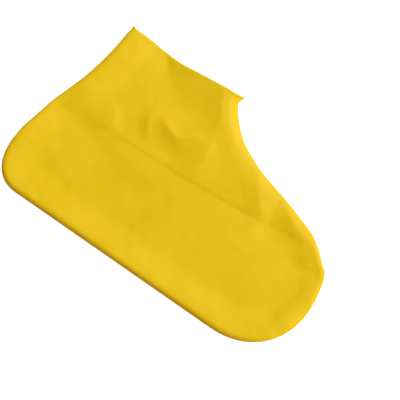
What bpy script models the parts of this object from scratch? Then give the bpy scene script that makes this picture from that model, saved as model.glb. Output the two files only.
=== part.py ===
"""A dipped latex rubber shoe cover, one hollow piece, lying pressed on its side.

The heel points to -X, the toe to +X and the ankle mouth to +Y. The cover lies on the plane z = 0,
with the middle of its outline at the origin. All sizes are in metres.
"""

import math
from collections import namedtuple

import bpy
import numpy as np
from mathutils import Vector
from mathutils.geometry import delaunay_2d_cdt

# Sizes seen from above
FOOT_LENGTH = 0.280
COVER_HEIGHT = 0.171
MOUTH_WIDTH = 0.109
MOUTH_SETBACK = 0.028
TOE_HEIGHT = 0.092
HEEL_ROUND_LENGTH = 0.027
HEEL_ROUND_HEIGHT = 0.035
TOE_ROUND_LENGTH = 0.060
TOE_ROUND_HEIGHT = 0.058

# Sizes seen from the side
WALL = 0.001
LYING_HEIGHT = 0.0130
SAG = 0.0028
SAG_REACH = 0.030
FRONT_FALL = 0.0020
FRONT_REACH = 0.014
SOLE_ROUND = 0.0055
THIN_ROUND = 0.0045
THIN_UNDER_ROUND = 0.0080
FOLD_FADE = 0.008

# Fineness of the mesh
SPACING = 0.0046
UNDER_SPACING = 0.014
EDGE_SPACING = 0.0050
RIM_CLEARANCE = 0.0012
ROUND_STEPS = 3
CURVE_STEPS = 8
FOLD_STEPS = 6
ROUND_POINTS = 40
SHARP_ANGLE = math.radians(60)
CLOSE = 1e-7
ONLY_INSIDE = 1

# Shapes without a size: how square the rounds are and where they start, how far along the foot the
# edge's front begins, how high the fold edge lies at the sole and elsewhere, how hollow a fold's
# flanks are, how softly a fold bends unless its table says otherwise, how near a row beside the edge
# may come back to it at a tight bend, and how near the filling points come to a line
HEEL_SQUARENESS = 2.3
TOE_SQUARENESS = 2.15
EDGE_SQUARENESS = 2.2
HEEL_START_ANGLE = math.pi
TOE_START_ANGLE = 1.5 * math.pi
FRONT_START_SHARE = 0.975
SOLE_FOLD_SHARE = 0.46
THIN_FOLD_SHARE = 0.84
FLANK_HOLLOW_POWER = 1.5
CREASE_SOFT_SHARE = 0.004
ROW_SHARE = 0.9
FILLER_SHARE = 0.6

# Outline stretches. Each point is a share of the stretch's own length and height.
Point = namedtuple("Point", "along up")
# From the back corner of the mouth down to the heel, as shares of the setback and the cover's height.
BACK = (
    Point(1.00, 0.977),
    Point(1.03, 0.962),
    Point(1.00, 0.935),
    Point(0.95, 0.850),
    Point(0.86, 0.760),
    Point(0.71, 0.655),
    Point(0.49, 0.545),
    Point(0.33, 0.470),
    Point(0.16, 0.360),
    Point(0.05, 0.290),
)
# From the toe round up to the toe's corner, as shares of the length and the toe's height.
TOE_END = (
    Point(0.998, 0.720),
    Point(0.993, 0.810),
    Point(0.983, 0.930),
    Point(0.971, 1.000),
)
# From the toe's corner to the mouth's front corner: along from the toe's corner to the mouth's,
# up from the toe's corner to the mouth's.
INSTEP = (
    Point(0.035, 0.040),
    Point(0.095, 0.130),
    Point(0.165, 0.215),
    Point(0.215, 0.255),
    Point(0.300, 0.300),
    Point(0.430, 0.370),
    Point(0.525, 0.410),
    Point(0.680, 0.485),
    Point(0.830, 0.600),
    Point(0.905, 0.695),
    Point(0.970, 0.810),
    Point(1.008, 0.900),
    Point(1.012, 0.940),
    Point(1.004, 0.972),
    Point(1.000, 1.000),
)
# From the mouth's front corner to its back corner, as shares of the mouth's width and the height.
MOUTH = (
    Point(1.000, 1.000),
    Point(0.985, 0.997),
    Point(0.850, 0.990),
    Point(0.660, 0.977),
    Point(0.460, 0.963),
    Point(0.340, 0.964),
    Point(0.180, 0.972),
    Point(0.040, 0.974),
    Point(0.000, 0.977),
)

# Folds of the upper side. A ridge has a positive rise and a valley a negative one. A station's
# place is a share of the frame named above its table, its rise a share of the lying height, and its
# reach to the left and right of the line, walked in the table's order, a share of the height. So is
# the width over which the line itself is rounded off.
Station = namedtuple("Station", "along up rise left right soft", defaults=(CREASE_SOFT_SHARE,))
# Along the foot's length, and up in toe heights.
FOOT_FOLDS = {
    "sole_edge": (
        Station(0.025, 0.880, -0.22, 0.14, 0.22),
        Station(0.070, 0.876, -0.17, 0.13, 0.20),
        Station(0.120, 0.884, -0.07, 0.09, 0.18),
        Station(0.175, 0.896, -0.035, 0.04, 0.16),
        Station(0.230, 0.913, -0.032, 0.018, 0.16, 0.002),
        Station(0.300, 0.930, -0.028, 0.013, 0.12, 0.002),
        Station(0.400, 0.943, -0.028, 0.012, 0.10, 0.002),
        Station(0.465, 0.953, -0.036, 0.013, 0.10, 0.002),
        Station(0.560, 0.975, -0.034, 0.013, 0.12, 0.002),
        Station(0.680, 1.010, -0.07, 0.030, 0.14, 0.002),
        Station(0.740, 1.032, -0.08, 0.060, 0.17),
        Station(0.810, 1.055, -0.07, 0.060, 0.16),
        Station(0.870, 1.073, -0.06, 0.040, 0.14),
        Station(0.915, 1.087, 0.00, 0.03, 0.08),
    ),
    "instep_ridge": (
        Station(0.655, 1.330, 0.00, 0.08, 0.08),
        Station(0.685, 1.220, 0.09, 0.11, 0.08, 0.010),
        Station(0.712, 1.130, 0.10, 0.12, 0.09, 0.008),
        Station(0.735, 1.065, 0.06, 0.10, 0.08),
        Station(0.745, 1.035, 0.00, 0.06, 0.08),
    ),
    "vamp_valley": (
        Station(0.765, 1.310, 0.00, 0.12, 0.10),
        Station(0.756, 1.230, -0.11, 0.16, 0.10, 0.003),
        Station(0.752, 1.150, -0.15, 0.18, 0.10, 0.003),
        Station(0.750, 1.090, -0.11, 0.16, 0.07),
        Station(0.751, 1.045, 0.00, 0.08, 0.05),
    ),
    "vamp_ridge": (
        Station(0.755, 1.270, 0.00, 0.05, 0.08),
        Station(0.790, 1.230, 0.09, 0.05, 0.13),
        Station(0.835, 1.165, 0.08, 0.05, 0.14),
        Station(0.880, 1.100, 0.02, 0.04, 0.10),
        Station(0.915, 1.040, 0.00, 0.04, 0.06),
    ),
    "toe_valley": (
        Station(0.850, 1.060, 0.00, 0.08, 0.16),
        Station(0.858, 0.990, -0.12, 0.14, 0.22),
        Station(0.868, 0.900, -0.15, 0.14, 0.22),
        Station(0.880, 0.840, 0.00, 0.05, 0.14),
    ),
    "toe_corner_valley": (
        Station(0.974, 1.000, 0.00, 0.05, 0.06),
        Station(0.940, 0.935, -0.11, 0.08, 0.11, 0.002),
        Station(0.905, 0.875, -0.10, 0.09, 0.11, 0.002),
        Station(0.878, 0.830, 0.00, 0.05, 0.06),
    ),
    "toe_end_valley": (
        Station(0.962, 0.900, 0.00, 0.06, 0.12),
        Station(0.942, 0.740, -0.10, 0.09, 0.14, 0.005),
        Station(0.928, 0.590, -0.09, 0.10, 0.15, 0.005),
        Station(0.915, 0.450, -0.03, 0.09, 0.12, 0.010),
        Station(0.905, 0.370, 0.00, 0.05, 0.12),
    ),
    "toe_cap_dent": (
        Station(0.890, 0.540, 0.00, 0.05, 0.12),
        Station(0.912, 0.430, -0.07, 0.09, 0.16, 0.010),
        Station(0.940, 0.330, 0.00, 0.05, 0.10),
    ),
    "sole_groove": (
        Station(0.110, 0.850, 0.00, 0.06, 0.20),
        Station(0.190, 0.775, -0.055, 0.09, 0.22, 0.016),
        Station(0.300, 0.665, -0.055, 0.10, 0.22, 0.020),
        Station(0.450, 0.540, 0.00, 0.10, 0.20),
    ),
}
# Along the mouth's width from its back corner, and up in cover heights.
ANKLE_FOLDS = {
    "mouth_valley": (
        Station(0.305, 0.975, -0.23, 0.20, 0.14),
        Station(0.425, 0.895, -0.19, 0.21, 0.15),
        Station(0.587, 0.819, -0.11, 0.20, 0.15, 0.014),
        Station(0.771, 0.772, -0.05, 0.14, 0.10, 0.020),
        Station(0.917, 0.754, 0.00, 0.06, 0.06),
    ),
    "ankle_front": (
        Station(0.835, 0.995, 0.08, 0.34, 0.10, 0.006),
        Station(0.865, 0.935, 0.11, 0.34, 0.10, 0.005),
        Station(0.915, 0.877, 0.13, 0.32, 0.10, 0.004),
        Station(0.950, 0.825, 0.15, 0.20, 0.10),
        Station(0.968, 0.785, 0.10, 0.10, 0.12),
        Station(0.985, 0.735, 0.06, 0.08, 0.12),
        Station(1.000, 0.680, 0.07, 0.10, 0.11),
        Station(1.009, 0.602, 0.06, 0.09, 0.10),
        Station(1.027, 0.538, 0.00, 0.05, 0.06),
    ),
    "ankle_tuck": (
        Station(0.545, 0.702, 0.00, 0.08, 0.06),
        Station(0.615, 0.686, 0.14, 0.11, 0.06),
        Station(0.675, 0.668, 0.19, 0.12, 0.08),
        Station(0.740, 0.660, 0.19, 0.13, 0.10),
        Station(0.810, 0.682, 0.18, 0.13, 0.11),
        Station(0.880, 0.708, 0.16, 0.12, 0.12),
        Station(0.940, 0.722, 0.11, 0.09, 0.12),
        Station(0.985, 0.730, 0.00, 0.06, 0.10),
    ),
    "tuck_valley": (
        Station(0.690, 0.625, 0.00, 0.08, 0.12),
        Station(0.780, 0.580, -0.05, 0.10, 0.14),
        Station(0.870, 0.535, 0.00, 0.05, 0.10),
    ),
    "ankle_crease": (
        Station(0.472, 0.702, 0.00, 0.08, 0.03),
        Station(0.495, 0.661, 0.09, 0.10, 0.045),
        Station(0.532, 0.620, 0.09, 0.10, 0.05),
        Station(0.587, 0.561, 0.00, 0.08, 0.04),
    ),
    "back_hollow": (
        Station(0.235, 0.980, -0.08, 0.22, 0.12, 0.010),
        Station(0.215, 0.900, -0.16, 0.34, 0.14, 0.014),
        Station(0.190, 0.790, -0.16, 0.34, 0.14, 0.014),
        Station(0.165, 0.690, -0.09, 0.22, 0.14, 0.014),
        Station(0.150, 0.600, 0.00, 0.14, 0.12),
    ),
    "heel_crease": (
        Station(0.200, 0.640, 0.00, 0.05, 0.10),
        Station(0.255, 0.590, 0.05, 0.05, 0.14),
        Station(0.300, 0.545, 0.065, 0.05, 0.14),
        Station(0.355, 0.490, 0.00, 0.05, 0.08),
    ),
}


def clear_scene():
    for obj in list(bpy.data.objects):
        bpy.data.objects.remove(obj, do_unlink=True)


def smooth_path(stations, steps):
    """A Catmull-Rom curve through the stations, with the given number of steps between two."""
    rows = np.array(stations, float)
    padded = np.vstack([2 * rows[0] - rows[1], rows, 2 * rows[-1] - rows[-2]])
    t = np.arange(steps)[:, None] / steps
    stretches = []
    for before, start, end, after in zip(padded, padded[1:], padded[2:], padded[3:]):
        bend = 2 * before - 5 * start + 4 * end - after
        turn = 3 * (start - end) + after - before
        stretches.append(start + 0.5 * t * (end - before + t * (bend + t * turn)))
    return np.vstack(stretches + [rows[-1:]])


def lengths_along(path):
    return np.concatenate([[0], np.cumsum(np.linalg.norm(np.diff(path[:, :2], axis=0), axis=1))])


def at_lengths(path, lengths):
    """The path's rows at the given lengths along it."""
    known = lengths_along(path)
    return np.column_stack([np.interp(lengths, known, column) for column in path.T])


def evenly(path, spacing):
    total = lengths_along(path)[-1]
    return at_lengths(path, np.linspace(0, total, max(2, round(total / spacing) + 1)))


def quarter_round(centre, half_sizes, squareness, start):
    """A quarter of a superellipse, turning anticlockwise from the starting angle."""
    angle = start + np.linspace(0, math.pi / 2, ROUND_POINTS)
    direction = np.column_stack([np.cos(angle), np.sin(angle)])
    rounded = np.sign(direction) * np.abs(direction) ** (2 / squareness)
    return np.array(centre) + rounded * np.array(half_sizes)


def fold_edge():
    """The edge where the cover is folded flat: down the heel, along the sole, round the toe and
    back over the instep, from the mouth's back corner to its front corner."""
    back = smooth_path(BACK, CURVE_STEPS) * (MOUTH_SETBACK, COVER_HEIGHT)
    heel_sizes = (HEEL_ROUND_LENGTH, HEEL_ROUND_HEIGHT)
    heel = quarter_round(heel_sizes, heel_sizes, HEEL_SQUARENESS, HEEL_START_ANGLE)
    toe_sizes = (TOE_ROUND_LENGTH, TOE_ROUND_HEIGHT)
    toe_centre = (FOOT_LENGTH - TOE_ROUND_LENGTH, TOE_ROUND_HEIGHT)
    toe = quarter_round(toe_centre, toe_sizes, TOE_SQUARENESS, TOE_START_ANGLE)
    toe_end = smooth_path(TOE_END, CURVE_STEPS) * (FOOT_LENGTH, TOE_HEIGHT)
    corner = toe_end[-1]
    mouth_front = np.array([MOUTH_SETBACK + MOUTH_WIDTH, COVER_HEIGHT])
    instep = corner + smooth_path(INSTEP, FOLD_STEPS) * (mouth_front - corner)
    return np.vstack([back, heel, toe, toe_end, instep])


def mouth_line():
    """The cut rim of the mouth, from its front corner to its back corner."""
    return smooth_path(MOUTH, CURVE_STEPS) * (MOUTH_WIDTH, COVER_HEIGHT) + (MOUTH_SETBACK, 0)


def round_insets():
    """How far in the mesh's rows lie across the rounded edge."""
    angles = np.linspace(0, math.pi / 2, ROUND_STEPS + 1)[1:]
    return SOLE_ROUND * (1 - np.cos(angles))


def rim_points():
    """The mouth's rim, with points at both ends where the rounded edge needs them."""
    rim = mouth_line()
    total = lengths_along(rim)[-1]
    insets = round_insets()
    middle = np.linspace(insets[-1], total - insets[-1], round(total / EDGE_SPACING))
    places = np.concatenate([[0], insets, middle[1:-1], total - insets[::-1], [total]])
    return at_lengths(rim, places)


def distance_to(points, path):
    """Each point's distance to the path, and its place along it in rows."""
    best = np.full(len(points), np.inf)
    place = np.zeros(len(points))
    for row, (start, end) in enumerate(zip(path[:-1, :2], path[1:, :2])):
        step = end - start
        offset = points - start
        share = np.clip(offset @ step / (step @ step), 0, 1)
        away = np.linalg.norm(offset - share[:, None] * step, axis=1)
        nearer = away < best
        best[nearer] = away[nearer]
        place[nearer] = row + share[nearer]
    return best, place


def is_inside(points, outline):
    inside = np.zeros(len(points), bool)
    for (x1, y1), (x2, y2) in zip(outline, np.roll(outline, -1, axis=0)):
        crosses = (y1 > points[:, 1]) != (y2 > points[:, 1])
        if crosses.any():
            reach = x1 + (points[:, 1] - y1) / (y2 - y1 if y2 != y1 else 1) * (x2 - x1)
            inside ^= crosses & (points[:, 0] < reach)
    return inside


def fold_paths():
    """Each fold as a smooth path with rows of x, y, rise, left reach, right reach and softness."""
    reach_sizes = (LYING_HEIGHT, COVER_HEIGHT, COVER_HEIGHT, COVER_HEIGHT)
    foot_sizes = np.array((FOOT_LENGTH, TOE_HEIGHT) + reach_sizes)
    ankle_sizes = np.array((MOUTH_WIDTH, COVER_HEIGHT) + reach_sizes)
    paths = {name: smooth_path(rows, FOLD_STEPS) * foot_sizes for name, rows in FOOT_FOLDS.items()}
    for name, rows in ANKLE_FOLDS.items():
        paths[name] = smooth_path(rows, FOLD_STEPS) * ankle_sizes
        paths[name][:, 0] += MOUTH_SETBACK
    return paths


def fold_rise(points, path):
    """How far the fold lifts each point: most on its line, and nothing past its reach."""
    lift = np.zeros(len(points))
    for start, end in zip(path, path[1:]):
        step = (end - start)[:2]
        offset = points - start[:2]
        share = np.clip(offset @ step / (step @ step), 0, 1)
        away = np.linalg.norm(offset - share[:, None] * step, axis=1)
        turn = step[0] * offset[:, 1] - step[1] * offset[:, 0]
        leftness = 0.5 + 0.5 * turn / (np.linalg.norm(step) * np.maximum(away, CLOSE))
        rise, left, right, soft = (start[2:] + share[:, None] * (end - start)[2:]).T
        reach = right + leftness * (left - right)
        softened = np.sqrt(away**2 + soft**2) - soft
        part = rise * np.clip(1 - softened / reach, 0, 1) ** FLANK_HOLLOW_POWER
        lift = np.where(np.abs(part) > np.abs(lift), part, lift)
    return lift


def ease(share):
    share = np.clip(share, 0, 1)
    return share * share * (3 - 2 * share)


def top_heights(points, edge):
    """How high the folded cover is: full at the heel and the sole's edge, lower further in, and
    lowest along the front."""
    start = np.argmax(edge[:, 0] > FRONT_START_SHARE * FOOT_LENGTH)
    from_rear = distance_to(points, edge[:start + 1])[0]
    from_front = distance_to(points, edge[start:])[0]
    fall = (1 - np.clip(from_front / FRONT_REACH, 0, 1)) ** 2
    return LYING_HEIGHT - SAG * ease(from_rear / SAG_REACH) - FRONT_FALL * fall


def edge_values(place, edge, sole_value, thin_value):
    """A value along the fold edge that is the first where it faces the sole, and else the second."""
    along = np.gradient(edge, axis=0)
    facing_sole = np.clip(along[:, 0] / np.linalg.norm(along, axis=1), 0, 1) ** 2
    return np.interp(place, np.arange(len(edge)), thin_value + (sole_value - thin_value) * facing_sole)


def rounding(share):
    """A quarter of a superellipse, from 0 at the edge to 1 where the round ends."""
    return (1 - (1 - np.clip(share, 0, 1)) ** EDGE_SQUARENESS) ** (1 / EDGE_SQUARENESS)


def upper_heights(points, edge, folds):
    inset, place = distance_to(points, edge)
    top = top_heights(points, edge)
    fold_height = top * edge_values(place, edge, SOLE_FOLD_SHARE, THIN_FOLD_SHARE)
    rounded = rounding(inset / edge_values(place, edge, SOLE_ROUND, THIN_ROUND))
    folding = sum(fold_rise(points, path) for path in folds.values())
    return fold_height + (top - fold_height) * rounded + folding * ease(inset / FOLD_FADE)


def under_heights(points, edge):
    inset, place = distance_to(points, edge)
    fold_height = top_heights(points, edge) * edge_values(place, edge, SOLE_FOLD_SHARE, THIN_FOLD_SHARE)
    return fold_height * (1 - rounding(inset / edge_values(place, edge, SOLE_ROUND, THIN_UNDER_ROUND)))


def moved_in(edge, inset):
    along = np.gradient(edge, axis=0)
    inward = np.column_stack([-along[:, 1], along[:, 0]])
    return edge + inset * inward / np.linalg.norm(along, axis=1)[:, None]


def kept_runs(path, kept):
    """The runs of the path's points that are kept, each two points or more."""
    breaks = np.flatnonzero(np.diff(kept.astype(int))) + 1
    runs = np.split(path, breaks)
    return [run for run, keep in zip(runs, np.split(kept, breaks)) if keep[0] and len(run) > 1]


def filler_points(outline, spacing):
    """A grid of equal triangles over the outline's box."""
    low, high = outline.min(axis=0), outline.max(axis=0)
    row_step = spacing * math.sqrt(3) / 2
    rows = np.arange(low[1] + row_step / 2, high[1], row_step)
    points = []
    for number, y in enumerate(rows):
        x = np.arange(low[0] + spacing / 2 * (number % 2), high[0], spacing)
        points.append(np.column_stack([x, np.full(len(x), y)]))
    return np.vstack(points)


def is_clear(points, paths, gap):
    """Which points lie further than the gap from every path."""
    return np.all([distance_to(points, path)[0] > gap for path in paths], axis=0)


def edge_rows(edge, rim):
    """Copies of the fold edge, moved in to where the rounded edge needs points."""
    outline = np.vstack([edge, rim[1:-1]])
    runs = []
    for inset in round_insets():
        row = moved_in(edge, inset)
        kept = is_inside(row, outline) & is_clear(row, [edge], ROW_SHARE * inset)
        runs += kept_runs(row, kept & is_clear(row, [rim], RIM_CLEARANCE))
    return runs


def fold_runs(edge, rim, folds):
    """The stretches of the folds' lines that the mesh follows, clear of the edge and each other."""
    outline = np.vstack([edge, rim[1:-1]])
    runs = []
    for path in folds.values():
        line = evenly(path, SPACING)[:, :2]
        kept = is_inside(line, outline) & is_clear(line, [edge], round_insets()[-1] + SPACING / 2)
        runs += kept_runs(line, kept & is_clear(line, [rim] + runs, SPACING / 2))
    return runs


def sheet(edge, rim, runs, spacing):
    """Points and triangles of one side, seen from above. The edge's points come first, then the rim's."""
    outline = np.vstack([edge, rim[1:-1]])
    filler = filler_points(outline, spacing)
    kept = is_inside(filler, outline) & is_clear(filler, [edge], round_insets()[-1] + spacing / 2)
    filler = filler[kept & is_clear(filler, [rim] + runs, FILLER_SHARE * spacing)]
    edges = []
    start = len(outline)
    for run in runs:
        edges += [(start + i, start + i + 1) for i in range(len(run) - 1)]
        start += len(run)
    points = [Vector(point) for point in np.vstack([outline] + runs + [filler])]
    found = delaunay_2d_cdt(points, edges, [range(len(outline))], ONLY_INSIDE, CLOSE)
    return np.array([tuple(point) for point in found[0]]), np.array(found[2])


def cover_mesh():
    """The outer skin of the cover: an upper and an under sheet that share the fold edge's points."""
    edge = evenly(fold_edge(), EDGE_SPACING)
    rim = rim_points()
    rows = edge_rows(edge, rim)
    folds = fold_paths()
    upper, upper_triangles = sheet(edge, rim, rows + fold_runs(edge, rim, folds), SPACING)
    under, under_triangles = sheet(edge, rim, rows, UNDER_SPACING)
    shared = len(edge)
    under_index = np.concatenate([np.arange(shared), len(upper) + np.arange(len(under) - shared)])
    points = np.vstack([
        np.column_stack([upper, upper_heights(upper, edge, folds)]),
        np.column_stack([under, under_heights(under, edge)])[shared:],
    ])
    triangles = np.vstack([upper_triangles, under_index[under_triangles][:, ::-1]])
    points[:, :2] -= (points[:, :2].min(axis=0) + points[:, :2].max(axis=0)) / 2
    mesh = bpy.data.meshes.new("cover_shell")
    mesh.from_pydata(points.tolist(), [], triangles.tolist())
    mesh.validate()
    return mesh


def rubber():
    material = bpy.data.materials.new("yellow_latex")
    material.use_nodes = True
    shader = material.node_tree.nodes["Principled BSDF"]
    shader.inputs["Base Color"].default_value = (0.78, 0.50, 0.012, 1)
    shader.inputs["Roughness"].default_value = 0.5
    shader.inputs["Metallic"].default_value = 0
    return material


def make_cover():
    mesh = cover_mesh()
    mesh.shade_smooth()
    mesh.set_sharp_from_angle(angle=SHARP_ANGLE)
    mesh.materials.append(rubber())
    cover = bpy.data.objects.new("cover_shell", mesh)
    bpy.context.scene.collection.objects.link(cover)
    wall = cover.modifiers.new("wall", "SOLIDIFY")
    wall.thickness = WALL
    wall.offset = -1
    wall.use_even_offset = True
    wall.use_rim = True


clear_scene()
make_cover()
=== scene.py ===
"""The looks of a dipped latex rubber shoe cover, one hollow piece, lying pressed on its side.

The heel points to -X, the toe to +X and the ankle mouth to +Y. The cover lies on the plane z = 0,
with the middle of its outline at the origin. All sizes are in metres.
"""

import math
from collections import namedtuple

import bpy
import numpy as np
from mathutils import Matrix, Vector
from mathutils.geometry import delaunay_2d_cdt
from mathutils.noise import noise as noise_at


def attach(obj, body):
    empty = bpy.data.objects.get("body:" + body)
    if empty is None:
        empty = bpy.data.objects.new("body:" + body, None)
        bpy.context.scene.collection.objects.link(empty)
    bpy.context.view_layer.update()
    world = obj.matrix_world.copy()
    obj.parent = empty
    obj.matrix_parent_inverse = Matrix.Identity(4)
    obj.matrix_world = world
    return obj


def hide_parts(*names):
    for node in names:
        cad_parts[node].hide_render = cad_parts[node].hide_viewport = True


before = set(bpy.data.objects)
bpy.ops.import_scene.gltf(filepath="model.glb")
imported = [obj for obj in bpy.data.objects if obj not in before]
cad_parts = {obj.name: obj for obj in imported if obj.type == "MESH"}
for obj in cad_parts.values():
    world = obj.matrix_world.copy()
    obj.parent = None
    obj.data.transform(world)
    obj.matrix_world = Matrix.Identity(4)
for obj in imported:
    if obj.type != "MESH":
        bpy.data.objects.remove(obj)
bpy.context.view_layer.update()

# Sizes seen from above
FOOT_LENGTH = 0.280
COVER_HEIGHT = 0.171
MOUTH_WIDTH = 0.109
MOUTH_SETBACK = 0.028
TOE_HEIGHT = 0.092
HEEL_ROUND_LENGTH = 0.027
HEEL_ROUND_HEIGHT = 0.035
TOE_ROUND_LENGTH = 0.060
TOE_ROUND_HEIGHT = 0.058

# Sizes seen from the side
WALL = 0.001
LYING_HEIGHT = 0.0130
SAG = 0.0028
SAG_REACH = 0.030
FRONT_FALL = 0.0020
FRONT_REACH = 0.014
SOLE_ROUND = 0.0055
THIN_ROUND = 0.0045
THIN_UNDER_ROUND = 0.0080
FOLD_FADE = 0.008
SWELL = 0.00014
SWELL_LENGTH = 0.028
RIPPLE = 0.00016
RIPPLE_LENGTH = 0.008

# Fineness of the mesh
SPACING = 0.00125
UNDER_SPACING = 0.0050
EDGE_SPACING = 0.0014
RIM_CLEARANCE = 0.0003
ROUND_STEPS = 6
CURVE_STEPS = 8
FOLD_STEPS = 6
ROUND_POINTS = 40
CLOSE = 1e-7
ONLY_INSIDE = 1

# The photograph's frame: it looks straight down, with the foot's length turned in the picture
VIEW_TURN = math.radians(34.8)
VIEW_WIDTH = 0.3278
VIEW_CENTRE = (0.1545, 0.0813)
CAMERA_HEIGHT = 1.8

# The latex: its two yellows, how far apart they lie in the clouds' values, how rough its skin is
# where it shines most and least, and how much it mirrors
DEEP_YELLOW = (0.769, 0.497, 0.003)
PALE_YELLOW = (0.798, 0.526, 0.007)
CLOUD_EDGES = (0.36, 0.64)
SHINY_ROUGHNESS = 0.46
DULL_ROUGHNESS = 0.60
LATEX_MIRRORING = 0.12
# Its patterns: how often a noise repeats in a metre, how many finer layers it has, and how strong
# each layer is beside the one before
Pattern = namedtuple("Pattern", "scale detail")
CLOUDS = Pattern(48, 4)
DULL_PATCHES = Pattern(60, 4)
SKIN = Pattern(260, 3)
GRAIN = Pattern(1800, 2)
LAYER_STRENGTH = 0.55
# How strongly a pattern shows as relief, and how deep it is
Relief = namedtuple("Relief", "strength depth")
SKIN_RELIEF = Relief(0.10, 0.0006)
GRAIN_RELIEF = Relief(0.06, 0.0002)

# The table and the lights
FLOOR_WIDTH = 12
FLOOR_GAP = 0.0002
FLOOR_GREY = 0.86
FLOOR_ROUGHNESS = 0.9
FLOOR_GLOW = 0.95
# The window, by how far right and up it lies in the picture and how high
WINDOW_PLACE = (1.62, 0.46, 2.01)
KEY_STRENGTH = 3.64
KEY_WIDTH = math.radians(28)
# The light from all around, by how high it comes from: -1 is straight below, 0 level and 1 straight
# above. What comes from below is warmer, and stands for the light that the table sends back.
Sky = namedtuple("Sky", "height color")
SKY = (
    Sky(-1.00, (0.75, 0.52, 0.28)),
    Sky(-0.30, (1.20, 0.82, 0.38)),
    Sky(-0.02, (1.90, 1.28, 0.50)),
    Sky(0.10, (0.11, 0.11, 0.11)),
    Sky(0.60, (0.10, 0.10, 0.10)),
    Sky(1.00, (0.05, 0.05, 0.05)),
)

# Shapes without a size: how square the rounds are and where they start, how far along the foot the
# edge's front begins, how high the fold edge lies at the sole and elsewhere, how hollow a fold's
# flanks are, how softly a fold bends unless its table says otherwise, how near a row beside the edge
# may come back to it at a tight bend, and how near the filling points come to a line
HEEL_SQUARENESS = 2.3
TOE_SQUARENESS = 2.15
EDGE_SQUARENESS = 2.2
HEEL_START_ANGLE = math.pi
TOE_START_ANGLE = 1.5 * math.pi
FRONT_START_SHARE = 0.975
SOLE_FOLD_SHARE = 0.46
THIN_FOLD_SHARE = 0.84
FLANK_HOLLOW_POWER = 1.5
CREASE_SOFT_SHARE = 0.004
ROW_SHARE = 0.9
FILLER_SHARE = 0.6

# Outline stretches. Each point is a share of the stretch's own length and height.
Point = namedtuple("Point", "along up")
# From the back corner of the mouth down to the heel, as shares of the setback and the cover's height.
BACK = (
    Point(1.00, 0.977),
    Point(1.03, 0.962),
    Point(1.00, 0.935),
    Point(0.95, 0.850),
    Point(0.86, 0.760),
    Point(0.71, 0.655),
    Point(0.49, 0.545),
    Point(0.33, 0.470),
    Point(0.16, 0.360),
    Point(0.05, 0.290),
)
# From the toe round up to the toe's corner, as shares of the length and the toe's height.
TOE_END = (
    Point(0.998, 0.720),
    Point(0.993, 0.810),
    Point(0.983, 0.930),
    Point(0.971, 1.000),
)
# From the toe's corner to the mouth's front corner: along from the toe's corner to the mouth's,
# up from the toe's corner to the mouth's.
INSTEP = (
    Point(0.035, 0.040),
    Point(0.095, 0.130),
    Point(0.165, 0.215),
    Point(0.215, 0.255),
    Point(0.300, 0.300),
    Point(0.430, 0.370),
    Point(0.525, 0.410),
    Point(0.680, 0.485),
    Point(0.830, 0.600),
    Point(0.905, 0.695),
    Point(0.970, 0.810),
    Point(1.008, 0.900),
    Point(1.012, 0.940),
    Point(1.004, 0.972),
    Point(1.000, 1.000),
)
# From the mouth's front corner to its back corner, as shares of the mouth's width and the height.
MOUTH = (
    Point(1.000, 1.000),
    Point(0.985, 0.997),
    Point(0.850, 0.990),
    Point(0.660, 0.977),
    Point(0.460, 0.963),
    Point(0.340, 0.964),
    Point(0.180, 0.972),
    Point(0.040, 0.974),
    Point(0.000, 0.977),
)

# Folds of the upper side. A ridge has a positive rise and a valley a negative one. A station's
# place is a share of the frame named above its table, its rise a share of the lying height, and its
# reach to the left and right of the line, walked in the table's order, a share of the height. So is
# the width over which the line itself is rounded off.
Station = namedtuple("Station", "along up rise left right soft", defaults=(CREASE_SOFT_SHARE,))
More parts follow.
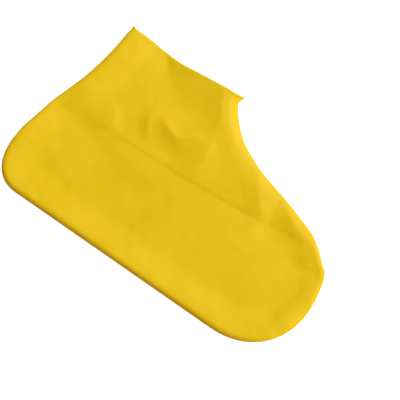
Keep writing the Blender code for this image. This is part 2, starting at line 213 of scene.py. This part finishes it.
# Along the foot's length, and up in toe heights.
FOOT_FOLDS = {
    "sole_edge": (
        Station(0.025, 0.880, -0.22, 0.14, 0.22),
        Station(0.070, 0.876, -0.17, 0.13, 0.20),
        Station(0.120, 0.884, -0.07, 0.09, 0.18),
        Station(0.175, 0.896, -0.035, 0.04, 0.16),
        Station(0.230, 0.913, -0.032, 0.018, 0.16, 0.002),
        Station(0.300, 0.930, -0.028, 0.013, 0.12, 0.002),
        Station(0.400, 0.943, -0.028, 0.012, 0.10, 0.002),
        Station(0.465, 0.953, -0.036, 0.013, 0.10, 0.002),
        Station(0.560, 0.975, -0.034, 0.013, 0.12, 0.002),
        Station(0.680, 1.010, -0.07, 0.030, 0.14, 0.002),
        Station(0.740, 1.032, -0.08, 0.060, 0.17),
        Station(0.810, 1.055, -0.07, 0.060, 0.16),
        Station(0.870, 1.073, -0.06, 0.040, 0.14),
        Station(0.915, 1.087, 0.00, 0.03, 0.08),
    ),
    "instep_ridge": (
        Station(0.655, 1.330, 0.00, 0.08, 0.08),
        Station(0.685, 1.220, 0.09, 0.11, 0.08, 0.010),
        Station(0.712, 1.130, 0.10, 0.12, 0.09, 0.008),
        Station(0.735, 1.065, 0.06, 0.10, 0.08),
        Station(0.745, 1.035, 0.00, 0.06, 0.08),
    ),
    "vamp_valley": (
        Station(0.765, 1.310, 0.00, 0.12, 0.10),
        Station(0.756, 1.230, -0.11, 0.16, 0.10, 0.003),
        Station(0.752, 1.150, -0.15, 0.18, 0.10, 0.003),
        Station(0.750, 1.090, -0.11, 0.16, 0.07),
        Station(0.751, 1.045, 0.00, 0.08, 0.05),
    ),
    "vamp_ridge": (
        Station(0.755, 1.270, 0.00, 0.05, 0.08),
        Station(0.790, 1.230, 0.09, 0.05, 0.13),
        Station(0.835, 1.165, 0.08, 0.05, 0.14),
        Station(0.880, 1.100, 0.02, 0.04, 0.10),
        Station(0.915, 1.040, 0.00, 0.04, 0.06),
    ),
    "toe_valley": (
        Station(0.850, 1.060, 0.00, 0.08, 0.16),
        Station(0.858, 0.990, -0.12, 0.14, 0.22),
        Station(0.868, 0.900, -0.15, 0.14, 0.22),
        Station(0.880, 0.840, 0.00, 0.05, 0.14),
    ),
    "toe_corner_valley": (
        Station(0.974, 1.000, 0.00, 0.05, 0.06),
        Station(0.940, 0.935, -0.11, 0.08, 0.11, 0.002),
        Station(0.905, 0.875, -0.10, 0.09, 0.11, 0.002),
        Station(0.878, 0.830, 0.00, 0.05, 0.06),
    ),
    "toe_end_valley": (
        Station(0.962, 0.900, 0.00, 0.06, 0.12),
        Station(0.942, 0.740, -0.10, 0.09, 0.14, 0.005),
        Station(0.928, 0.590, -0.09, 0.10, 0.15, 0.005),
        Station(0.915, 0.450, -0.03, 0.09, 0.12, 0.010),
        Station(0.905, 0.370, 0.00, 0.05, 0.12),
    ),
    "toe_cap_dent": (
        Station(0.890, 0.540, 0.00, 0.05, 0.12),
        Station(0.912, 0.430, -0.07, 0.09, 0.16, 0.010),
        Station(0.940, 0.330, 0.00, 0.05, 0.10),
    ),
    "sole_groove": (
        Station(0.110, 0.850, 0.00, 0.06, 0.20),
        Station(0.190, 0.775, -0.055, 0.09, 0.22, 0.016),
        Station(0.300, 0.665, -0.055, 0.10, 0.22, 0.020),
        Station(0.450, 0.540, 0.00, 0.10, 0.20),
    ),
}
# Along the mouth's width from its back corner, and up in cover heights.
ANKLE_FOLDS = {
    "mouth_valley": (
        Station(0.305, 0.975, -0.23, 0.20, 0.14),
        Station(0.425, 0.895, -0.19, 0.21, 0.15),
        Station(0.587, 0.819, -0.11, 0.20, 0.15, 0.014),
        Station(0.771, 0.772, -0.05, 0.14, 0.10, 0.020),
        Station(0.917, 0.754, 0.00, 0.06, 0.06),
    ),
    "ankle_front": (
        Station(0.835, 0.995, 0.08, 0.34, 0.10, 0.006),
        Station(0.865, 0.935, 0.11, 0.34, 0.10, 0.005),
        Station(0.915, 0.877, 0.13, 0.32, 0.10, 0.004),
        Station(0.950, 0.825, 0.15, 0.20, 0.10),
        Station(0.968, 0.785, 0.10, 0.10, 0.12),
        Station(0.985, 0.735, 0.06, 0.08, 0.12),
        Station(1.000, 0.680, 0.07, 0.10, 0.11),
        Station(1.009, 0.602, 0.06, 0.09, 0.10),
        Station(1.027, 0.538, 0.00, 0.05, 0.06),
    ),
    "ankle_tuck": (
        Station(0.545, 0.702, 0.00, 0.08, 0.06),
        Station(0.615, 0.686, 0.14, 0.11, 0.06),
        Station(0.675, 0.668, 0.19, 0.12, 0.08),
        Station(0.740, 0.660, 0.19, 0.13, 0.10),
        Station(0.810, 0.682, 0.18, 0.13, 0.11),
        Station(0.880, 0.708, 0.16, 0.12, 0.12),
        Station(0.940, 0.722, 0.11, 0.09, 0.12),
        Station(0.985, 0.730, 0.00, 0.06, 0.10),
    ),
    "tuck_valley": (
        Station(0.690, 0.625, 0.00, 0.08, 0.12),
        Station(0.780, 0.580, -0.05, 0.10, 0.14),
        Station(0.870, 0.535, 0.00, 0.05, 0.10),
    ),
    "ankle_crease": (
        Station(0.472, 0.702, 0.00, 0.08, 0.03),
        Station(0.495, 0.661, 0.09, 0.10, 0.045),
        Station(0.532, 0.620, 0.09, 0.10, 0.05),
        Station(0.587, 0.561, 0.00, 0.08, 0.04),
    ),
    "back_hollow": (
        Station(0.235, 0.980, -0.08, 0.22, 0.12, 0.010),
        Station(0.215, 0.900, -0.16, 0.34, 0.14, 0.014),
        Station(0.190, 0.790, -0.16, 0.34, 0.14, 0.014),
        Station(0.165, 0.690, -0.09, 0.22, 0.14, 0.014),
        Station(0.150, 0.600, 0.00, 0.14, 0.12),
    ),
    "heel_crease": (
        Station(0.200, 0.640, 0.00, 0.05, 0.10),
        Station(0.255, 0.590, 0.05, 0.05, 0.14),
        Station(0.300, 0.545, 0.065, 0.05, 0.14),
        Station(0.355, 0.490, 0.00, 0.05, 0.08),
    ),
}


def smooth_path(stations, steps):
    """A Catmull-Rom curve through the stations, with the given number of steps between two."""
    rows = np.array(stations, float)
    padded = np.vstack([2 * rows[0] - rows[1], rows, 2 * rows[-1] - rows[-2]])
    t = np.arange(steps)[:, None] / steps
    stretches = []
    for before, start, end, after in zip(padded, padded[1:], padded[2:], padded[3:]):
        bend = 2 * before - 5 * start + 4 * end - after
        turn = 3 * (start - end) + after - before
        stretches.append(start + 0.5 * t * (end - before + t * (bend + t * turn)))
    return np.vstack(stretches + [rows[-1:]])


def lengths_along(path):
    return np.concatenate([[0], np.cumsum(np.linalg.norm(np.diff(path[:, :2], axis=0), axis=1))])


def at_lengths(path, lengths):
    """The path's rows at the given lengths along it."""
    known = lengths_along(path)
    return np.column_stack([np.interp(lengths, known, column) for column in path.T])


def evenly(path, spacing):
    total = lengths_along(path)[-1]
    return at_lengths(path, np.linspace(0, total, max(2, round(total / spacing) + 1)))


def quarter_round(centre, half_sizes, squareness, start):
    """A quarter of a superellipse, turning anticlockwise from the starting angle."""
    angle = start + np.linspace(0, math.pi / 2, ROUND_POINTS)
    direction = np.column_stack([np.cos(angle), np.sin(angle)])
    rounded = np.sign(direction) * np.abs(direction) ** (2 / squareness)
    return np.array(centre) + rounded * np.array(half_sizes)


def fold_edge():
    """The edge where the cover is folded flat: down the heel, along the sole, round the toe and
    back over the instep, from the mouth's back corner to its front corner."""
    back = smooth_path(BACK, CURVE_STEPS) * (MOUTH_SETBACK, COVER_HEIGHT)
    heel_sizes = (HEEL_ROUND_LENGTH, HEEL_ROUND_HEIGHT)
    heel = quarter_round(heel_sizes, heel_sizes, HEEL_SQUARENESS, HEEL_START_ANGLE)
    toe_sizes = (TOE_ROUND_LENGTH, TOE_ROUND_HEIGHT)
    toe_centre = (FOOT_LENGTH - TOE_ROUND_LENGTH, TOE_ROUND_HEIGHT)
    toe = quarter_round(toe_centre, toe_sizes, TOE_SQUARENESS, TOE_START_ANGLE)
    toe_end = smooth_path(TOE_END, CURVE_STEPS) * (FOOT_LENGTH, TOE_HEIGHT)
    corner = toe_end[-1]
    mouth_front = np.array([MOUTH_SETBACK + MOUTH_WIDTH, COVER_HEIGHT])
    instep = corner + smooth_path(INSTEP, FOLD_STEPS) * (mouth_front - corner)
    return np.vstack([back, heel, toe, toe_end, instep])


def mouth_line():
    """The cut rim of the mouth, from its front corner to its back corner."""
    return smooth_path(MOUTH, CURVE_STEPS) * (MOUTH_WIDTH, COVER_HEIGHT) + (MOUTH_SETBACK, 0)


def round_insets():
    """How far in the mesh's rows lie across the rounded edge."""
    angles = np.linspace(0, math.pi / 2, ROUND_STEPS + 1)[1:]
    return SOLE_ROUND * (1 - np.cos(angles))


def rim_points():
    """The mouth's rim, with points at both ends where the rounded edge needs them."""
    rim = mouth_line()
    total = lengths_along(rim)[-1]
    insets = round_insets()
    middle = np.linspace(insets[-1], total - insets[-1], round(total / EDGE_SPACING))
    places = np.concatenate([[0], insets, middle[1:-1], total - insets[::-1], [total]])
    return at_lengths(rim, places)


def distance_to(points, path):
    """Each point's distance to the path, and its place along it in rows."""
    best = np.full(len(points), np.inf)
    place = np.zeros(len(points))
    for row, (start, end) in enumerate(zip(path[:-1, :2], path[1:, :2])):
        step = end - start
        offset = points - start
        share = np.clip(offset @ step / (step @ step), 0, 1)
        away = np.linalg.norm(offset - share[:, None] * step, axis=1)
        nearer = away < best
        best[nearer] = away[nearer]
        place[nearer] = row + share[nearer]
    return best, place


def is_inside(points, outline):
    inside = np.zeros(len(points), bool)
    for (x1, y1), (x2, y2) in zip(outline, np.roll(outline, -1, axis=0)):
        crosses = (y1 > points[:, 1]) != (y2 > points[:, 1])
        if crosses.any():
            reach = x1 + (points[:, 1] - y1) / (y2 - y1 if y2 != y1 else 1) * (x2 - x1)
            inside ^= crosses & (points[:, 0] < reach)
    return inside


def fold_paths():
    """Each fold as a smooth path with rows of x, y, rise, left reach, right reach and softness."""
    reach_sizes = (LYING_HEIGHT, COVER_HEIGHT, COVER_HEIGHT, COVER_HEIGHT)
    foot_sizes = np.array((FOOT_LENGTH, TOE_HEIGHT) + reach_sizes)
    ankle_sizes = np.array((MOUTH_WIDTH, COVER_HEIGHT) + reach_sizes)
    paths = {name: smooth_path(rows, FOLD_STEPS) * foot_sizes for name, rows in FOOT_FOLDS.items()}
    for name, rows in ANKLE_FOLDS.items():
        paths[name] = smooth_path(rows, FOLD_STEPS) * ankle_sizes
        paths[name][:, 0] += MOUTH_SETBACK
    return paths


def fold_rise(points, path):
    """How far the fold lifts each point: most on its line, and nothing past its reach."""
    lift = np.zeros(len(points))
    for start, end in zip(path, path[1:]):
        step = (end - start)[:2]
        offset = points - start[:2]
        share = np.clip(offset @ step / (step @ step), 0, 1)
        away = np.linalg.norm(offset - share[:, None] * step, axis=1)
        turn = step[0] * offset[:, 1] - step[1] * offset[:, 0]
        leftness = 0.5 + 0.5 * turn / (np.linalg.norm(step) * np.maximum(away, CLOSE))
        rise, left, right, soft = (start[2:] + share[:, None] * (end - start)[2:]).T
        reach = right + leftness * (left - right)
        softened = np.sqrt(away**2 + soft**2) - soft
        part = rise * np.clip(1 - softened / reach, 0, 1) ** FLANK_HOLLOW_POWER
        lift = np.where(np.abs(part) > np.abs(lift), part, lift)
    return lift


def ease(share):
    share = np.clip(share, 0, 1)
    return share * share * (3 - 2 * share)


def top_heights(points, edge):
    """How high the folded cover is: full at the heel and the sole's edge, lower further in, and
    lowest along the front."""
    start = np.argmax(edge[:, 0] > FRONT_START_SHARE * FOOT_LENGTH)
    from_rear = distance_to(points, edge[:start + 1])[0]
    from_front = distance_to(points, edge[start:])[0]
    fall = (1 - np.clip(from_front / FRONT_REACH, 0, 1)) ** 2
    return LYING_HEIGHT - SAG * ease(from_rear / SAG_REACH) - FRONT_FALL * fall


def edge_values(place, edge, sole_value, thin_value):
    """A value along the fold edge that is the first where it faces the sole, and else the second."""
    along = np.gradient(edge, axis=0)
    facing_sole = np.clip(along[:, 0] / np.linalg.norm(along, axis=1), 0, 1) ** 2
    return np.interp(place, np.arange(len(edge)), thin_value + (sole_value - thin_value) * facing_sole)


def rounding(share):
    """A quarter of a superellipse, from 0 at the edge to 1 where the round ends."""
    return (1 - (1 - np.clip(share, 0, 1)) ** EDGE_SQUARENESS) ** (1 / EDGE_SQUARENESS)


def upper_heights(points, edge, folds):
    inset, place = distance_to(points, edge)
    top = top_heights(points, edge)
    fold_height = top * edge_values(place, edge, SOLE_FOLD_SHARE, THIN_FOLD_SHARE)
    rounded = rounding(inset / edge_values(place, edge, SOLE_ROUND, THIN_ROUND))
    folding = sum(fold_rise(points, path) for path in folds.values())
    return fold_height + (top - fold_height) * rounded + folding * ease(inset / FOLD_FADE)


def under_heights(points, edge):
    inset, place = distance_to(points, edge)
    fold_height = top_heights(points, edge) * edge_values(place, edge, SOLE_FOLD_SHARE, THIN_FOLD_SHARE)
    return fold_height * (1 - rounding(inset / edge_values(place, edge, SOLE_ROUND, THIN_UNDER_ROUND)))


def moved_in(edge, inset):
    along = np.gradient(edge, axis=0)
    inward = np.column_stack([-along[:, 1], along[:, 0]])
    return edge + inset * inward / np.linalg.norm(along, axis=1)[:, None]


def kept_runs(path, kept):
    """The runs of the path's points that are kept, each two points or more."""
    breaks = np.flatnonzero(np.diff(kept.astype(int))) + 1
    runs = np.split(path, breaks)
    return [run for run, keep in zip(runs, np.split(kept, breaks)) if keep[0] and len(run) > 1]


def filler_points(outline, spacing):
    """A grid of equal triangles over the outline's box."""
    low, high = outline.min(axis=0), outline.max(axis=0)
    row_step = spacing * math.sqrt(3) / 2
    rows = np.arange(low[1] + row_step / 2, high[1], row_step)
    points = []
    for number, y in enumerate(rows):
        x = np.arange(low[0] + spacing / 2 * (number % 2), high[0], spacing)
        points.append(np.column_stack([x, np.full(len(x), y)]))
    return np.vstack(points)


def is_clear(points, paths, gap):
    """Which points lie further than the gap from every path."""
    return np.all([distance_to(points, path)[0] > gap for path in paths], axis=0)


def edge_rows(edge, rim):
    """Copies of the fold edge, moved in to where the rounded edge needs points."""
    outline = np.vstack([edge, rim[1:-1]])
    runs = []
    for inset in round_insets():
        row = moved_in(edge, inset)
        kept = is_inside(row, outline) & is_clear(row, [edge], ROW_SHARE * inset)
        runs += kept_runs(row, kept & is_clear(row, [rim], RIM_CLEARANCE))
    return runs


def fold_runs(edge, rim, folds):
    """The stretches of the folds' lines that the mesh follows, clear of the edge and each other."""
    outline = np.vstack([edge, rim[1:-1]])
    runs = []
    for path in folds.values():
        line = evenly(path, SPACING)[:, :2]
        kept = is_inside(line, outline) & is_clear(line, [edge], round_insets()[-1] + SPACING / 2)
        runs += kept_runs(line, kept & is_clear(line, [rim] + runs, SPACING / 2))
    return runs


def sheet(edge, rim, runs, spacing):
    """Points and triangles of one side, seen from above: the edge's points, the rim's, the rest."""
    outline = np.vstack([edge, rim[1:-1]])
    filler = filler_points(outline, spacing)
    kept = is_inside(filler, outline) & is_clear(filler, [edge], round_insets()[-1] + spacing / 2)
    filler = filler[kept & is_clear(filler, [rim] + runs, FILLER_SHARE * spacing)]
    edges = []
    start = len(outline)
    for run in runs:
        edges += [(start + i, start + i + 1) for i in range(len(run) - 1)]
        start += len(run)
    points = [Vector(point) for point in np.vstack([outline] + runs + [filler])]
    found = delaunay_2d_cdt(points, edges, [range(len(outline))], ONLY_INSIDE, CLOSE)
    return np.array([tuple(point) for point in found[0]]), np.array(found[2])


def unevenness(points):
    """Slow swells and short ripples of the rubber, which is never quite flat. The ripples are read
    from another layer of the noise, so that they don't repeat the swells."""
    lifts = []
    for x, y in points:
        swell = noise_at(Vector((x, y, 0)) / SWELL_LENGTH)
        ripple = noise_at(Vector((y, x, SWELL_LENGTH)) / RIPPLE_LENGTH)
        lifts.append(SWELL * swell + RIPPLE * ripple)
    return np.array(lifts)


def cover_mesh():
    """The outer skin of the cover: an upper and an under sheet that share the fold edge's points."""
    edge = evenly(fold_edge(), EDGE_SPACING)
    rim = rim_points()
    rows = edge_rows(edge, rim)
    folds = fold_paths()
    upper, upper_triangles = sheet(edge, rim, rows + fold_runs(edge, rim, folds), SPACING)
    under, under_triangles = sheet(edge, rim, rows, UNDER_SPACING)
    shared = len(edge)
    under_index = np.concatenate([np.arange(shared), len(upper) + np.arange(len(under) - shared)])
    points = np.vstack([
        np.column_stack([upper, upper_heights(upper, edge, folds) + unevenness(upper)]),
        np.column_stack([under, under_heights(under, edge)])[shared:],
    ])
    triangles = np.vstack([upper_triangles, under_index[under_triangles][:, ::-1]])
    points[:, :2] -= (points[:, :2].min(axis=0) + points[:, :2].max(axis=0)) / 2
    mesh = bpy.data.meshes.new("latex_cover")
    mesh.from_pydata(points.tolist(), [], triangles.tolist())
    mesh.validate()
    return mesh


def add_node(tree, kind, inputs=None, **settings):
    """A node with its settings and the values of its sockets."""
    node = tree.nodes.new(kind)
    for name, value in settings.items():
        setattr(node, name, value)
    for name, value in (inputs or {}).items():
        node.inputs[name].default_value = value
    return node


def noise(tree, place, pattern):
    values = {"Scale": pattern.scale, "Detail": pattern.detail, "Roughness": LAYER_STRENGTH}
    node = add_node(tree, "ShaderNodeTexNoise", values)
    tree.links.new(place.outputs["Object"], node.inputs["Vector"])
    return node


def bump(tree, height, relief):
    node = add_node(tree, "ShaderNodeBump", {"Strength": relief.strength, "Distance": relief.depth})
    tree.links.new(height.outputs["Fac"], node.inputs["Height"])
    return node


def latex():
    """Yellow latex: a faintly cloudy colour, satin with duller patches, and a skin that isn't quite
    smooth."""
    material = bpy.data.materials.new("yellow_latex")
    material.use_nodes = True
    tree = material.node_tree
    shader = tree.nodes["Principled BSDF"]
    place = add_node(tree, "ShaderNodeTexCoord")
    clouds = noise(tree, place, CLOUDS)
    tint = add_node(tree, "ShaderNodeValToRGB")
    yellows = (DEEP_YELLOW, PALE_YELLOW)
    for element, position, yellow in zip(tint.color_ramp.elements, CLOUD_EDGES, yellows):
        element.position = position
        element.color = (*yellow, 1)
    tree.links.new(clouds.outputs["Fac"], tint.inputs["Fac"])
    tree.links.new(tint.outputs["Color"], shader.inputs["Base Color"])
    patches = noise(tree, place, DULL_PATCHES)
    ends = {"To Min": SHINY_ROUGHNESS, "To Max": DULL_ROUGHNESS}
    dullness = add_node(tree, "ShaderNodeMapRange", ends)
    tree.links.new(patches.outputs["Fac"], dullness.inputs["Value"])
    tree.links.new(dullness.outputs["Result"], shader.inputs["Roughness"])
    skin = bump(tree, noise(tree, place, SKIN), SKIN_RELIEF)
    grain = bump(tree, noise(tree, place, GRAIN), GRAIN_RELIEF)
    tree.links.new(skin.outputs["Normal"], grain.inputs["Normal"])
    tree.links.new(grain.outputs["Normal"], shader.inputs["Normal"])
    shader.inputs["Specular IOR Level"].default_value = LATEX_MIRRORING
    return material


def make_cover():
    mesh = cover_mesh()
    mesh.shade_smooth()
    mesh.materials.append(latex())
    cover = bpy.data.objects.new("latex_cover", mesh)
    bpy.context.scene.collection.objects.link(cover)
    wall = cover.modifiers.new("wall", "SOLIDIFY")
    wall.thickness = WALL
    wall.offset = -1
    wall.use_even_offset = True
    wall.use_rim = True
    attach(cover, "root")
    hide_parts("cover_shell")


def make_floor():
    mesh = bpy.data.meshes.new("floor")
    half = FLOOR_WIDTH / 2
    plan = ((-half, -half), (half, -half), (half, half), (-half, half))
    mesh.from_pydata([(x, y, -FLOOR_GAP) for x, y in plan], [], [(0, 1, 2, 3)])
    material = bpy.data.materials.new("white_table")
    material.use_nodes = True
    shader = material.node_tree.nodes["Principled BSDF"]
    shader.inputs["Base Color"].default_value = (FLOOR_GREY, FLOOR_GREY, FLOOR_GREY, 1)
    shader.inputs["Roughness"].default_value = FLOOR_ROUGHNESS
    shader.inputs["Specular IOR Level"].default_value = 0
    shader.inputs["Emission Color"].default_value = (1, 1, 1, 1)
    shader.inputs["Emission Strength"].default_value = FLOOR_GLOW
    mesh.materials.append(material)
    floor = bpy.data.objects.new("floor", mesh)
    bpy.context.scene.collection.objects.link(floor)
    floor.visible_diffuse = False
    floor.visible_glossy = False


def picture_point(right, up, height):
    """A place in the frame from how far right and up it lies in the picture."""
    turn = (math.cos(VIEW_TURN), math.sin(VIEW_TURN))
    return Vector((right * turn[0] - up * turn[1], right * turn[1] + up * turn[0], height))


def add_window(place):
    """Daylight from a far, wide window: even over the whole cover, with soft shadows."""
    data = bpy.data.lights.new("window", "SUN")
    data.energy = KEY_STRENGTH
    data.angle = KEY_WIDTH
    lamp = bpy.data.objects.new("window", data)
    lamp.location = place
    lamp.rotation_euler = (-place).to_track_quat("-Z", "Y").to_euler()
    bpy.context.scene.collection.objects.link(lamp)


def sky_elements(ramp, count):
    """The colour ramp's stops, as many as asked for."""
    elements = ramp.color_ramp.elements
    while len(elements) < count:
        elements.new(0.5)
    return elements


def make_light():
    add_window(picture_point(*WINDOW_PLACE))
    world = bpy.data.worlds.new("studio")
    world.use_nodes = True
    tree = world.node_tree
    background = tree.nodes["Background"]
    place = add_node(tree, "ShaderNodeTexCoord")
    split = add_node(tree, "ShaderNodeSeparateXYZ")
    dome = add_node(tree, "ShaderNodeValToRGB")
    for element, sky in zip(sky_elements(dome, len(SKY)), SKY):
        element.position = (sky.height + 1) / 2
        element.color = (*sky.color, 1)
    half = add_node(tree, "ShaderNodeMapRange", {"From Min": -1, "From Max": 1})
    tree.links.new(place.outputs["Generated"], split.inputs["Vector"])
    tree.links.new(split.outputs["Z"], half.inputs["Value"])
    tree.links.new(half.outputs["Result"], dome.inputs["Fac"])
    tree.links.new(dome.outputs["Color"], background.inputs["Color"])
    bpy.context.scene.world = world


def make_camera():
    data = bpy.data.cameras.new("camera")
    camera = bpy.data.objects.new("camera", data)
    bpy.context.scene.collection.objects.link(camera)
    camera.rotation_euler = (0, 0, VIEW_TURN)
    centre = (VIEW_CENTRE[0] - FOOT_LENGTH / 2, VIEW_CENTRE[1] - COVER_HEIGHT / 2)
    camera.location = (*centre, CAMERA_HEIGHT)
    distance = CAMERA_HEIGHT - SOLE_FOLD_SHARE * LYING_HEIGHT
    data.lens = data.sensor_width * distance / VIEW_WIDTH
    bpy.context.scene.camera = camera


make_cover()
make_floor()
make_light()
make_camera()
bpy.context.scene.view_settings.view_transform = "Standard"
